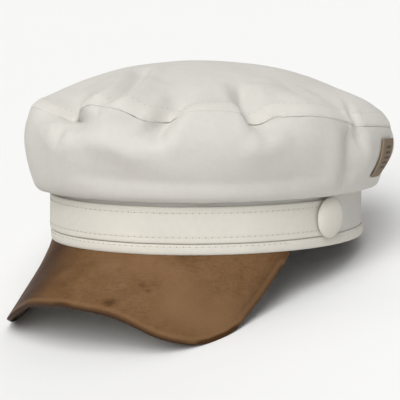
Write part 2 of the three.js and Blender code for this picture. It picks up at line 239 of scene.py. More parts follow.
class HatColours(bpy.types.PropertyGroup):
    """Colours of the hat's finish."""

    cloth: tint("Cloth", "Off-white crown and band", (0.65, 0.63, 0.592))
    # A darker copy of this colour is painted along the seams as painted shade
    cloth_shade: tint("Cloth shade", "Darker clouds in the cloth", (0.6, 0.58, 0.538))
    # Also painted on the crown's doubled seam allowance as a painted highlight
    strap: tint("Strap", "Warmer cloth of the strap", (0.72, 0.69, 0.62))
    thread: tint("Thread", "Sewing thread", (0.72, 0.685, 0.6))
    # Painted shade: colour of the dark bodies that stand for the shadow in the needle holes
    hole: tint("Needle hole", "Inside of a needle hole", (0.26, 0.21, 0.15))
    leather: tint("Leather", "Middle brown of the peak", (0.132, 0.061, 0.018))
    leather_dark: tint("Leather dark", "Dark blotches and edges", (0.047, 0.019, 0.005))
    # Also the colour of the painted highlight line above the edge and of the painted sheen on the peak's
    # low part
    leather_light: tint("Leather light", "Rubbed leather", (0.215, 0.118, 0.056))
    underside: tint("Underside", "Pale underside of the peak", (0.5, 0.47, 0.42))
    label: tint("Label", "Tan woven label", (0.185, 0.136, 0.09))
    label_mark: tint("Label mark", "Dark brown bars woven in the label", (0.05, 0.028, 0.015))
    floor: tint("Floor", "Pale floor", (0.82, 0.82, 0.82))


def sizes():
    return bpy.context.scene.hat_sizes


def colours():
    return bpy.context.scene.hat_colours


# The hat's own frame, read from the solids
def points_of(node):
    return np.array([v.co for v in NODES[node].data.vertices])


def merged_points(*nodes):
    """Points of some solids, each place once."""
    return np.unique(np.round(np.concatenate([points_of(node) for node in nodes]), 6), axis=0)


def hat_frame():
    """World matrix of the hat's own frame: its foot in the middle of the hem, +Z up through the band."""
    band = points_of("band")
    middle = band.mean(axis=0)
    spread, directions = np.linalg.eigh(np.cov((band - middle).T))
    up = Vector(directions[:, int(np.argmin(spread))]).normalized()
    up = up if up.z > 0 else -up
    right = Vector((1, 0, 0))
    back = up.cross(right)
    foot = (points_of("hem") @ np.array(up)).min()
    origin = Vector(middle) - up * (up.dot(Vector(middle)) - foot)
    turn = Matrix((right, back, up)).transposed().to_4x4()
    return Matrix.Translation(origin) @ turn


HAT = hat_frame()
HAT_UP = HAT.to_3x3() @ Vector((0, 0, 1))


def in_frame(matrix, points):
    """World points in another frame."""
    inverse = np.array(matrix.inverted())
    return points @ inverse[:3, :3].T + inverse[:3, 3]


def in_hat(points):
    """World points in the hat's own frame."""
    return in_frame(HAT, points)


BAND_HALF_WIDTH = float(np.abs(in_hat(points_of("band"))[:, 0]).max())
BAND_HALF_LENGTH = float(np.abs(in_hat(points_of("band"))[:, 1]).max())
BAND_TOP = float(in_hat(points_of("band"))[:, 2].max())
STRAP_LOW = float(in_hat(points_of("strap"))[:, 2].min())
STRAP_HIGH = float(in_hat(points_of("strap"))[:, 2].max())
HEM_TOP = float(in_hat(points_of("hem"))[:, 2].max())

# A point in the middle of the crown's hollow
HOLLOW = HAT @ Vector((0, 0, BAND_TOP + 12 * MM))


def round_angles(points):
    """Angle round the band of each world point, in radians."""
    own = in_hat(points)
    return np.arctan2(own[:, 0] / BAND_HALF_WIDTH, -own[:, 1] / BAND_HALF_LENGTH)


def beside_band(angle, out, height):
    """World point and outward direction beside the band's outer face."""
    x = math.sin(angle)
    y = -math.cos(angle)
    outward = Vector((BAND_HALF_LENGTH * x, BAND_HALF_WIDTH * y, 0)).normalized()
    point = Vector((BAND_HALF_WIDTH * x, BAND_HALF_LENGTH * y, height)) + outward * out
    return HAT @ point, HAT.to_3x3() @ outward


def direction(turn, rise):
    """Unit vector at an angle from the front to the wearer's left, and at an angle over the level."""
    return Vector((math.sin(turn) * math.cos(rise), -math.cos(turn) * math.cos(rise), math.sin(rise)))


def unit(rows):
    """Each row divided by its length."""
    return rows / np.linalg.norm(rows, axis=1)[:, None]


def dots(a, b):
    """Dot product of each pair of rows."""
    return np.einsum("ij,ij->i", a, b)


# Working with pieces
def only(piece):
    """Selects one piece and makes it active."""
    bpy.ops.object.select_all(action="DESELECT")
    piece.select_set(True)
    bpy.context.view_layer.objects.active = piece


def edit(piece, action="SELECT"):
    """Opens one piece for editing, with all or none of it selected."""
    only(piece)
    bpy.ops.object.mode_set(mode="EDIT")
    bpy.ops.mesh.select_all(action=action)


def new_object(name, data):
    """An object in the scene's collection."""
    made = bpy.data.objects.new(name, data)
    bpy.context.scene.collection.objects.link(made)
    return made


def copy_of(node, name):
    """A new piece with the merged faces of a solid, joined to quads."""
    piece = new_object(name, NODES[node].data.copy())
    piece.data.name = name
    piece.data.materials.clear()
    edit(piece)
    bpy.ops.mesh.remove_doubles(threshold=SAME_POINT)
    bpy.ops.mesh.tris_convert_to_quads(face_threshold=math.pi, shape_threshold=math.pi)
    bpy.ops.object.mode_set(mode="OBJECT")
    return piece


def split_upright(piece, cuts, upright=0.9, shortest=3 * MM):
    """Cuts the faces of a ring across its upright edges, for rows that can swell and pucker."""
    edit(piece, "DESELECT")
    bpy.ops.mesh.select_mode(type="EDGE")
    mesh = bmesh.from_edit_mesh(piece.data)
    for edge in mesh.edges:
        span = edge.verts[1].co - edge.verts[0].co
        edge.select = abs(span.dot(HAT_UP)) > upright * span.length and span.length > shortest
    bmesh.update_edit_mesh(piece.data)
    bpy.ops.mesh.subdivide_edgering(number_cuts=cuts, interpolation="LINEAR", smoothness=0)
    bpy.ops.object.mode_set(mode="OBJECT")


def soften(piece, rounding, levels=2, sharp=math.radians(52)):
    """Rounds the sharp edges of a piece and subdivides it."""
    edit(piece, "DESELECT")
    bpy.ops.mesh.select_mode(type="EDGE")
    bpy.ops.mesh.edges_select_sharp(sharpness=sharp)
    bpy.ops.mesh.bevel(offset=rounding, segments=2, affect="EDGES", clamp_overlap=True)
    bpy.ops.object.mode_set(mode="OBJECT")
    smooth = piece.modifiers.new("smooth", "SUBSURF")
    smooth.levels = levels
    smooth.render_levels = levels
    bpy.ops.object.modifier_apply(modifier=smooth.name)
    bpy.ops.object.shade_smooth()


def read(items, key):
    """One whole number of every item of a mesh."""
    values = np.empty(len(items), np.int32)
    items.foreach_get(key, values)
    return values


def read_vectors(piece, key):
    """One vector of every vertex of a piece."""
    values = np.empty(len(piece.data.vertices) * 3, np.float32)
    piece.data.vertices.foreach_get(key, values)
    return values.reshape(-1, 3).astype(float)


def vertices_of(piece):
    return read_vectors(piece, "co")


def put_vertices(piece, points):
    """Moves the vertices of a piece to new places."""
    piece.data.vertices.foreach_set("co", points.astype(np.float32).ravel())
    piece.data.update()


def outward_of(piece, points):
    """Normal of each vertex, turned away from the hat's hollow, and which vertices are on the outside."""
    normals = read_vectors(piece, "normal")
    outside = dots(normals, points - np.array(HOLLOW)) > 0
    return np.where(outside[:, None], normals, -normals), outside


def move_out(piece, heights, directions=None):
    """Moves each vertex away from the hat's hollow by its height."""
    points = vertices_of(piece)
    outward = outward_of(piece, points)[0] if directions is None else directions
    put_vertices(piece, points + outward * heights[:, None])


def lift(piece, heights):
    """Moves each vertex up through the band by its height."""
    move_out(piece, heights, np.array(HAT_UP))


def tree_of(places):
    """Search tree of some places."""
    tree = KDTree(len(places))
    for index, place in enumerate(places):
        tree.insert(place, index)
    tree.balance()
    return tree


def distance_to(places, points, rank=0):
    """Distance of each point from the nearest of some places, and which one it is. Rank 1 takes the second
    nearest, where the nearest is the point itself."""
    tree = tree_of(places)
    found = [tree.find_n(point, rank + 1)[rank] for point in points]
    return np.array([f[2] for f in found]), np.array([f[1] for f in found])


def clouds(points, size, seed):
    """Soft noise from -1 to 1 at each point, with clouds of about the given size."""
    shift = Vector((seed * 7.31, seed * 3.17, seed * 5.73))
    return np.array([noise.noise(Vector(point) / size + shift) for point in points])


def uneven(points, rise, size, seed):
    """How far an uneven surface stands out at each point."""
    return rise * clouds(points, size, seed)


def fade(values, start, end):
    """Smooth step from 0 at start to 1 at end."""
    share = np.clip((values - start) / (end - start), 0, 1)
    return share * share * (3 - 2 * share)


def run_of(path):
    """Length along a path up to each of its points."""
    return np.concatenate([[0], np.cumsum(np.linalg.norm(np.diff(path, axis=0), axis=1))])


def resampled(path, spacing, closed=False):
    """A smooth path through some points, sampled at an even spacing."""
    path = [Vector(p) for p in path]
    count = len(path)
    fine = []
    for i in range(count if closed else count - 1):
        if closed:
            a, b, c, d = (path[(i + k) % count] for k in (-1, 0, 1, 2))
        else:
            a, b, c, d = path[max(i - 1, 0)], path[i], path[i + 1], path[min(i + 2, count - 1)]
        for s in np.linspace(0, 1, 12, endpoint=False):
            fine.append(0.5 * (2 * b + (c - a) * s + (2 * a - 5 * b + 4 * c - d) * s * s
                               + (3 * b - a - 3 * c + d) * s ** 3))
    fine.append(path[0] if closed else path[-1])
    fine = np.array(fine)
    run = run_of(fine)
    steps = max(2, round(run[-1] / spacing))
    even = np.linspace(0, run[-1], steps, endpoint=not closed)
    return np.stack([np.interp(even, run, fine[:, k]) for k in range(3)], axis=1)


def lay_uv(piece, flat=False):
    """Lays the cloth's threads round the band and up it, or straight across where the panel is cut flat."""
    mesh = piece.data
    points = vertices_of(piece)
    own = in_hat(points)
    layer = mesh.uv_layers.new(name="threads") if not mesh.uv_layers else mesh.uv_layers[0]
    corners = read(mesh.loops, "vertex_index")
    if flat:
        uv = own[corners][:, :2]
    else:
        angles = round_angles(points)[corners]
        first = angles[read(mesh.polygons, "loop_start")]
        first = np.repeat(first, read(mesh.polygons, "loop_total"))
        angles = first + (angles - first + math.pi) % (2 * math.pi) - math.pi
        girth = (BAND_HALF_WIDTH + BAND_HALF_LENGTH) / 2
        uv = np.stack([angles * girth, own[corners][:, 2]], axis=1)
    layer.data.foreach_set("uv", uv.astype(np.float32).ravel())


def mark(piece, name, values):
    """Keeps a value per vertex for the materials."""
    attribute = piece.data.attributes.new(name, "FLOAT", "POINT")
    attribute.data.foreach_set("value", values.astype(np.float32))


def finish_piece(piece, material, slot, *nodes):
    """Gives a piece its material, hangs it from the root and hides the solids it stands for."""
    piece.data.materials.append(material)
    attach(piece, "root")
    if nodes:
        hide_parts(*nodes)


# The crown's seams, where two panels meet
def shared_rim(node, *others):
    """Points on the outer edge of a panel where it meets others."""
    own = merged_points(node)
    beside = merged_points(*others)
    gap, _ = distance_to(beside, own)
    rim = own[gap < SEAM_GAP]
    reach = np.linalg.norm(rim - np.array(HOLLOW), axis=1)
    between, nearest = distance_to(rim, rim, rank=1)
    return rim[~((between < SEAM_CLOTH) & (reach[nearest] > reach))]


def top_seam():
    """Even points along the top seam's outer line."""
    outer = shared_rim("crown_top", "crown_side_front", "crown_side_back")
    return resampled(outer[np.argsort(round_angles(outer))], SEAM_SPACING, closed=True)


def side_seam(side, apart=0.1 * MM):
    """Even points up a side seam's outer line, on the wearer's left (1) or right (-1)."""
    outer = shared_rim("crown_side_front", "crown_side_back")
    outer = outer[outer[:, 0] * side > 0]
    path = [outer[np.argmin(in_hat(outer)[:, 2])]]
    left = [p for p in outer if np.linalg.norm(p - path[0]) > apart]
    while left:
        steps = [np.linalg.norm(p - path[-1]) for p in left]
        nearest = int(np.argmin(steps))
        if steps[nearest] > SEAM_STEP:
            break
        path.append(left.pop(nearest))
    return resampled(path, SEAM_SPACING)


# The camera, and the place on the crown under a pixel of the photo
def camera_matrix():
    s = sizes()
    back = direction(s.camera_turn, s.camera_rise)
    right = Vector((math.cos(s.camera_turn), math.sin(s.camera_turn), 0))
    up = back.cross(right)
    rolled_right = right * math.cos(s.camera_roll) + up * math.sin(s.camera_roll)
    rolled_up = up * math.cos(s.camera_roll) - right * math.sin(s.camera_roll)
    turn = Matrix((rolled_right, rolled_up, back)).transposed().to_4x4()
    aim = rolled_right * s.aim_right + rolled_up * s.aim_up
    return HAT @ Matrix.Translation(aim + back * s.camera_distance) @ turn


def under_pixel(surface, x, y):
    """Where the line of sight through a pixel of the photo meets a surface."""
    place = camera_matrix()
    camera = bpy.context.scene.camera.data
    half = camera.sensor_width / 2 / camera.lens
    side = PHOTO_SIDE / 2
    line = place.to_3x3() @ Vector(((x - side) / side * half, (side - y) / side * half, -1))
    hit = surface.ray_cast(place.translation, line.normalized())
    return hit[0]


def columns_of(points):
    """Column of the photo in which each point is seen."""
    seen = in_frame(camera_matrix(), points)
    camera = bpy.context.scene.camera.data
    return PHOTO_SIDE * (0.5 + seen[:, 0] / -seen[:, 2] * camera.lens / camera.sensor_width)


def level_outward(points):
    """Direction away from the crown's middle, level with the band."""
    own = in_hat(points)
    own[:, 2] = 0
    return unit(own) @ np.array(HAT.to_3x3()).T


def slide(points, seam):
    """Slides the cloth near the top seam along itself to the seam's place in the photo. The hidden side
    keeps its place."""
    columns, lifts = np.array(SEAM_LIFT).T
    towards_camera = unit(np.array(camera_matrix().translation) - points)
    seen = fade(dots(level_outward(points), towards_camera), *SLIDE_SEEN)
    lift = np.interp(columns_of(points), columns, lifts) * MM * seen
    outward = shared_directions(points, SLIDE_FACES)
    up = np.array(HAT_UP)
    along = unit(up - outward * (outward @ up)[:, None])
    distance, _ = distance_to(seam, points)
    return points + along * (lift * np.exp(-((distance / SLIDE_REACH) ** 2)))[:, None]


def surface_of(*nodes):
    """Search tree of some solids."""
    corners = []
    faces = []
    for node in nodes:
        mesh = NODES[node].data
        base = len(corners)
        corners.extend(v.co.copy() for v in mesh.vertices)
        faces.extend([base + i for i in p.vertices] for p in mesh.polygons)
    return BVHTree.FromPolygons(corners, faces)


def shared_directions(points, faces=14):
    """Outward direction at each point, evened out over the crown's panels so that both sides of a seam move
    alike."""
    places = []
    normals = []
    for node in CROWN_NODES:
        for face in NODES[node].data.polygons:
            if face.normal.dot(face.center - HOLLOW) > 0:
                places.append(face.center)
                normals.append(face.normal * face.area)
    tree = tree_of(places)
    normals = np.array(normals)
    near = [[found[1] for found in tree.find_n(point, faces)] for point in points]
    return unit(np.array([normals[indices].sum(axis=0) for indices in near]))


def rows_on(surface, rows, spacing=0.6 * MM):
    """Even points along each row of photo points, where the lines of sight meet a surface."""
    found = []
    for row in rows:
        corners = [under_pixel(surface, x, y) for x, y in row["path"]]
        found.append(resampled([c for c in corners if c], spacing))
    return found


def share_of(path, width, points, reach):
    """Distance of each point from a path as a share of its half width, and how far along the path it is.
    Points farther than the reach, in half widths, have an endless share."""
    share = np.full(len(points), np.inf)
    along = np.zeros(len(points))
    margin = width * reach
    close = np.all((points > path.min(axis=0) - margin) & (points < path.max(axis=0) + margin), axis=1)
    if close.any():
        distance, nearest = distance_to(path, points[close])
        share[close] = distance / width
        along[close] = nearest / (len(path) - 1)
    return share, along


def folds_of(points, paths):
    """How far the folds move each point out. A fold that presses in is sharp, and the cloth swells a little
    beside it."""
    height = np.zeros(len(points))
    for fold, path in zip(FOLDS, paths):
        share, along = share_of(path, fold["width"] * MM, points, FOLD_REACH)
        crest = np.exp(-(share ** 2))
        if fold["height"] < 0:
            swell = SWELL_HEIGHT * np.exp(-((share - SWELL_PLACE) ** 2))
            crest = np.exp(-(share ** FOLD_SHARPNESS)) - swell
        ends = fade(along, 0, FOLD_END) * (1 - fade(along, 1 - FOLD_END, 1))
        height += fold["height"] * MM * crest * ends
    return height


def doubled_cloth(from_seam):
    """1 on the doubled seam allowance and 0 past it."""
    allowance = sizes().seam_allowance
    return 1 - fade(from_seam, allowance - DOUBLED_EDGE, allowance + DOUBLED_EDGE)


def crown_relief(points, seam, folds, top):
    """How far the crown's cloth stands out at each point, over the solids: folds, the doubled seam
    allowance, puckers along the seam, gathers over the band and uneven cloth."""
    s = sizes()
    from_seam, _ = distance_to(seam, points)
    relief = folds_of(points, folds)
    angles = round_angles(points)
    level = np.zeros(len(points))
    ripple = clouds(np.column_stack([angles * PUCKERS, level, level]), 1.0, 3)
    puckers = 0.6 * ripple + 0.4 * clouds(points, PUCKER_SIZE, 4)
    relief += s.pucker * puckers * np.exp(-((from_seam / PUCKER_REACH) ** 2))
    if top:
        relief += DOUBLED_RISE * doubled_cloth(from_seam)
    else:
        height = in_hat(points)[:, 2] - BAND_TOP
        round_band = (np.sin(angles) * GATHERS, np.cos(angles) * GATHERS)
        wave = clouds(np.column_stack([*round_band, height / GATHER_LENGTH]), 1.0, 6)
        relief += s.gather * wave * (1 - fade(height, *GATHER_HEIGHTS))
    for row in UNEVEN_CROWN:
        relief += uneven(points, *row)
    return relief, from_seam


# Stitches
def lozenge(name, size, segments, rings):
    """A small rounded body to copy along a row."""
    bpy.ops.object.select_all(action="DESELECT")
    bpy.ops.mesh.primitive_uv_sphere_add(segments=segments, ring_count=rings, radius=0.5)
    piece = bpy.context.object
    piece.name = name
    piece.scale = size
    bpy.ops.object.transform_apply(location=False, rotation=False, scale=True)
    return piece


def row_of(name, template, places):
    """Copies of a small body at each place, joined in one piece. A place is a matrix."""
    joined = bmesh.new()
    for place in places:
        before = len(joined.verts)
        joined.from_mesh(template.data)
        joined.verts.ensure_lookup_table()
        bmesh.ops.transform(joined, matrix=place, verts=joined.verts[before:])
    mesh = bpy.data.meshes.new(name)
    joined.to_mesh(mesh)
    joined.free()
    piece = new_object(name, mesh)
    only(piece)
    bpy.ops.object.shade_smooth()
    return piece


def along_path(at, run, values):
    """The value at a length along a path, between the values at its points."""
    return Vector([np.interp(at, run, values[:, k]) for k in range(3)])


def stand(point, along, outward):
    """Matrix that puts a body's length along a row and its top outwards."""
    outward = outward.normalized()
    across = outward.cross(along).normalized()
    along = across.cross(outward)
    turn = Matrix((along, across, outward)).transposed().to_4x4()
    return Matrix.Translation(point) @ turn


def sew(name, path, outward, fineness=1.0):
    """A row of thread stitches with a needle hole between them, each hole a small dark body of painted
    shade, along a path on the cloth.
    """
    s = sizes()
    thread = s.thread * fineness
    width = s.hole * fineness
    run = run_of(path)
    count = int(run[-1] / s.stitch_pitch)
    stitch = lozenge("stitch", (s.stitch_pitch - s.stitch_gap, thread, thread * STITCH_HEIGHT), 8, 6)
    # Painted shade: a small dark body stands for the shadow in each needle hole
    hole = lozenge("hole", [width * share for share in HOLE_SHAPE], 8, 4)
    threads = []
    hole_shades = []
    for i in range(count):
        for share, places in ((0.5, threads), (0.0, hole_shades)):
            at = (i + share) * run[-1] / count
            ahead = along_path(at + MM / 2, run, path) - along_path(at - MM / 2, run, path)
            places.append(stand(along_path(at, run, path), ahead, along_path(at, run, outward)))
    rows = [row_of(name, stitch, threads), row_of(name + "_holes", hole, hole_shades)]
    bpy.data.objects.remove(stitch)
    bpy.data.objects.remove(hole)
    finish_piece(rows[0], once("sewing_thread", thread_material), "strap_cloth")
    finish_piece(rows[1], once("needle_hole", hole_material), "strap_cloth")


def welt(name, path, radius, closed, material):
    """A round cord of cloth that fills a seam from behind."""
    curve = bpy.data.curves.new(name, "CURVE")
    curve.dimensions = "3D"
    curve.bevel_depth = radius
    curve.bevel_resolution = 2
    curve.use_fill_caps = not closed
    spline = curve.splines.new("POLY")
    spline.points.add(len(path) - 1)
    spline.points.foreach_set("co", np.column_stack([path, np.ones(len(path))]).ravel())
    spline.use_cyclic_u = closed
    only(new_object(name, curve))
    bpy.ops.object.convert(target="MESH")
    piece = bpy.context.object
    edit(piece)
    bpy.ops.mesh.remove_doubles(threshold=SAME_POINT)
    bpy.ops.mesh.normals_make_consistent(inside=False)
    bpy.ops.object.mode_set(mode="OBJECT")
    bpy.ops.object.shade_smooth()
    lay_uv(piece)
    finish_piece(piece, material, "crown_cloth")


def contour(piece, values, level, spacing=1.2 * MM):
    """Path on a piece's outside where a value per vertex crosses a level, with its outward directions."""
    points = vertices_of(piece)
    outward, outside = outward_of(piece, points)
    ends = np.empty(len(piece.data.edges) * 2, np.int32)
    piece.data.edges.foreach_get("vertices", ends)
    ends = ends.reshape(-1, 2)
    ends = ends[outside[ends].all(axis=1)]
    over = values[ends] - level
    ends = ends[over[:, 0] * over[:, 1] < 0]
    over = values[ends] - level
    share = (over[:, 0] / (over[:, 0] - over[:, 1]))[:, None]
    crossings = points[ends[:, 0]] * (1 - share) + points[ends[:, 1]] * share
    facing = outward[ends[:, 0]] * (1 - share) + outward[ends[:, 1]] * share
    order = np.argsort(round_angles(crossings))
    crossings = crossings[order]
    facing = facing[order]
    kept = [0]
    for i in range(1, len(crossings)):
        if np.linalg.norm(crossings[i] - crossings[kept[-1]]) > spacing:
            kept.append(i)
    return crossings[kept], facing[kept]


# Materials
def new_group(name, inputs, outputs):
    """A shader node group with named inputs, vectors or numbers as their defaults say, and named numbers
    out."""
    group = bpy.data.node_groups.new(name, "ShaderNodeTree")
    for label, default in inputs.items():
        kind = "NodeSocketVector" if isinstance(default, tuple) else "NodeSocketFloat"
        group.interface.new_socket(name=label, in_out="INPUT", socket_type=kind).default_value = default
    for label in outputs:
        group.interface.new_socket(name=label, in_out="OUTPUT", socket_type="NodeSocketFloat")
    return group


class Nodes:
    """Adds and links nodes of one tree."""

    def __init__(self, tree):
        self.tree = tree

    def add(self, kind, settings=None, **inputs):
        node = self.tree.nodes.new(kind)
        for key, value in (settings or {}).items():
            setattr(node, key, value)
        for key, value in inputs.items():
            self.set(node, key.replace("_", " "), value)
        return node

    def set(self, node, key, value):
        socket = node.inputs[int(key[1:])] if key[0] == "#" else node.inputs[key]
        if isinstance(value, bpy.types.NodeSocket):
            self.tree.links.new(value, socket)
        else:
            socket.default_value = value

    def noise(self, vector, scale, detail=2.0, roughness=0.5):
        inputs = {"Vector": vector, "Scale": scale, "Detail": detail, "Roughness": roughness}
        return self.add("ShaderNodeTexNoise", **inputs).outputs["Fac"]

    def math(self, operation, a, b=0.0, clamp=False):
        node = self.add("ShaderNodeMath", {"operation": operation, "use_clamp": clamp})
        self.set(node, "#0", a)
        self.set(node, "#1", b)
        return node.outputs[0]

    def ramp(self, value, low, high):
        """Value from 0 at low to 1 at high."""
        node = self.add("ShaderNodeMapRange", {"clamp": True, "interpolation_type": "SMOOTHSTEP"})
        self.set(node, "Value", value)
        self.set(node, "From Min", low)
        self.set(node, "From Max", high)
        return node.outputs["Result"]

    def between(self, value, low, high, soft):
        """Mask that is 1 from low to high."""
        return self.math("MULTIPLY", self.ramp(value, low - soft, low + soft),
                         self.ramp(value, high + soft, high - soft))

    def mix(self, share, a, b):
        node = self.add("ShaderNodeMix", {"data_type": "RGBA"})
        self.set(node, "#0", share)
        self.set(node, "#6", a)
        self.set(node, "#7", b)
        return node.outputs[2]

    def share(self, value, part):
        return self.math("MULTIPLY", value, part)

    def bump(self, shader, height, distance):
        """Gives a shader the relief of a height."""
        node = self.add("ShaderNodeBump", Strength=0.5, Distance=distance, Height=height)
        self.set(shader, "Normal", node.outputs["Normal"])

    def attribute(self, name):
        return self.add("ShaderNodeAttribute", {"attribute_name": name}).outputs["Fac"]


def weave_group():
    """Twill cloth: diagonal ribs and fuzz, from a UV map in metres."""
    group = new_group("weave", {"Vector": (0, 0, 0), "Rib": 1200.0, "Fuzz": 900.0}, ("Height", "Shade"))
    n = Nodes(group)
    into = n.add("NodeGroupInput")
    out = n.add("NodeGroupOutput")
    wave = n.add("ShaderNodeTexWave", {"wave_type": "BANDS", "bands_direction": "DIAGONAL"},
                 Vector=into.outputs["Vector"], Scale=into.outputs["Rib"], Distortion=0.6, Detail=1.0)
    fuzz = n.noise(into.outputs["Vector"], into.outputs["Fuzz"], 3.0, 0.6)
    n.set(out, "Height", n.math("ADD", n.share(wave.outputs["Fac"], 0.5), fuzz))
    n.set(out, "Shade", fuzz)
    return group


def mottle_group():
    """Uneven tone: large clouds broken up by small ones, from object coordinates."""
    group = new_group(
        "mottle", {"Vector": (0, 0, 0), "Large": 20.0, "Small": 120.0, "Share": 0.3}, ("Value",))
    n = Nodes(group)
    into = n.add("NodeGroupInput")
    out = n.add("NodeGroupOutput")
    large = n.noise(into.outputs["Vector"], into.outputs["Large"], 3.0, 0.55)
    small = n.noise(into.outputs["Vector"], into.outputs["Small"], 4.0, 0.6)
    blend = n.add("ShaderNodeMix", {"data_type": "FLOAT"})
    n.set(blend, "#0", into.outputs["Share"])
    n.set(blend, "#2", large)
    n.set(blend, "#3", small)
    n.set(out, "Value", n.ramp(blend.outputs[0], 0.3, 0.7))
    return group


GROUPS = {"weave": weave_group, "mottle": mottle_group}


def group_node(n, name, **inputs):
    """A node group, built the first time it is used."""
    tree = bpy.data.node_groups.get(name) or GROUPS[name]()
    return n.add("ShaderNodeGroup", {"node_tree": tree}, **inputs)


def new_material(name):
    material = bpy.data.materials.new(name)
    material.use_nodes = True
    n = Nodes(material.node_tree)
    return material, n, material.node_tree.nodes["Principled BSDF"]


def rgba(colour, brightness=1.0):
    return (*(brightness * c for c in colour), 1.0)


def once(name, build, *tones):
    """A material that several pieces share, built the first time it is used."""
    return bpy.data.materials.get(name) or build(name, *tones)


def cloth_material(name, light, shade):
    """Brushed cotton twill with faint clouds, a darker line painted as the shade in the seams' creases
    where the attribute seam says, and a lighter, warmer tone painted as highlight on the doubled allowance
    where the attribute doubled says."""
    material, n, shader = new_material(name)
    place = n.add("ShaderNodeTexCoord").outputs["Object"]
    threads = n.add("ShaderNodeUVMap", {"uv_map": "threads"}).outputs["UV"]
    weave = group_node(n, "weave", Vector=threads)
    mottle = group_node(n, "mottle", Vector=place, Large=26.0, Small=320.0, Share=0.35)
    fuzz = n.share(weave.outputs["Shade"], 0.16)
    # Painted highlight: the doubled seam allowance is painted lighter and warmer for the light on its
    # flatter, upward-facing cloth
    lighter = n.share(n.attribute("doubled"), 0.26)
    # Painted shade: a darker line along the seams stands for the shade in their creases
    line = n.share(n.attribute("seam"), 0.22)
    colour = n.mix(mottle.outputs["Value"], rgba(shade), rgba(light))
    colour = n.mix(fuzz, colour, rgba(shade))
    colour = n.mix(lighter, colour, rgba(colours().strap))
    colour = n.mix(line, colour, rgba(shade, 0.6))
    n.set(shader, "Base Color", colour)
    n.set(shader, "Roughness", n.math("ADD", n.share(weave.outputs["Shade"], 0.12), 0.78))
    n.bump(shader, weave.outputs["Height"], 0.3 * MM)
    shader.inputs["Sheen Weight"].default_value = 0.06
    shader.inputs["Sheen Roughness"].default_value = 0.5
    shader.inputs["Specular IOR Level"].default_value = 0.2
    return material


def crown_cloth():
    return once("crown_twill", cloth_material, colours().cloth, colours().cloth_shade)


def strap_cloth():
    return once("strap_twill", cloth_material, colours().strap, [0.92 * c for c in colours().strap])


def thread_material(name):
    """Twisted cotton thread."""
    material, n, shader = new_material(name)
    place = n.add("ShaderNodeTexCoord").outputs["Object"]
    twist = n.noise(place, scale=2500.0)
    n.set(shader, "Base Color", n.mix(twist, rgba(colours().thread), rgba(colours().thread, 0.8)))
    n.bump(shader, twist, 0.2 * MM)
    shader.inputs["Roughness"].default_value = 0.6
    return material


def hole_material(name):
    """Painted shade: the dark inside of a needle hole, where shadow falls."""
    material, n, shader = new_material(name)
    place = n.add("ShaderNodeTexCoord").outputs["Object"]
    colour = n.mix(n.noise(place, scale=900.0), rgba(colours().hole), rgba(colours().hole, 1.6))
    n.set(shader, "Base Color", colour)
    shader.inputs["Roughness"].default_value = 1.0
    shader.inputs["Specular IOR Level"].default_value = 0.0
    return material


def leather_material():
    """Brown waxed leather: clouds of tone, drawn fibres, fine grain, darker and lighter places with painted
    sheen on the low part, a dark edge with a painted highlight line above it, and a pale inner side."""
    material, n, shader = new_material("peak_leather")
    place = n.add("ShaderNodeTexCoord").outputs["Object"]
    middle = rgba(colours().leather)
    dark = rgba(colours().leather_dark)
    light = rgba(colours().leather_light)
    tone = group_node(n, "mottle", Vector=place, Large=16.0, Small=90.0, Share=0.4).outputs["Value"]
    streaks = group_node(n, "mottle", Vector=place, Large=150.0, Small=700.0, Share=0.5).outputs["Value"]
    drawn = n.add("ShaderNodeMapping", {"vector_type": "TEXTURE"}, Vector=place,
                  Rotation=(0, 0, math.radians(36)), Scale=(4.0, 1.0, 1.0))
    fibres = n.noise(drawn.outputs["Vector"], scale=900.0, detail=4.0, roughness=0.6)
    dark_fibres = n.share(n.ramp(fibres, 0.5, 0.7), 0.26)
    light_fibres = n.share(n.ramp(fibres, 0.48, 0.32), 0.3)
    # Spots and marks, a darker left side, and painted sheen on the peak's low part
    marks_and_sheen = n.attribute("marks_and_sheen")
    edge = n.attribute("edge")
    # Painted highlight: a lighter line above the edge for the glint on the rounded rim
    painted_edge_highlight = n.share(n.ramp(edge, 5.8 * MM, 4.0 * MM), 0.5)
    worn = n.share(n.ramp(edge, 3.7 * MM, 2.0 * MM), 0.95)
    colour = n.mix(tone, middle, light)
    for share, layer in (
        (n.share(streaks, 0.26), dark),
        (dark_fibres, dark),
        (light_fibres, light),
        (n.math("MULTIPLY", marks_and_sheen, -1.0, clamp=True), light),
        (n.math("MULTIPLY", marks_and_sheen, 1.0, clamp=True), dark),
        (painted_edge_highlight, light),
        (worn, dark),
        (n.attribute("inner"), rgba(colours().underside)),
    ):
        colour = n.mix(share, colour, layer)
    n.set(shader, "Base Color", colour)
    grain = n.add("ShaderNodeTexVoronoi", {"feature": "DISTANCE_TO_EDGE"}, Vector=place, Scale=1300.0)
    pores = n.share(n.noise(place, scale=1500.0, detail=3.0), 0.6)
    n.bump(shader, n.math("ADD", n.ramp(grain.outputs["Distance"], 0.0, 0.25), pores), 0.3 * MM)
    n.set(shader, "Roughness", n.math("ADD", n.share(tone, 0.14), 0.42))
    shader.inputs["Specular IOR Level"].default_value = 0.1
    return material


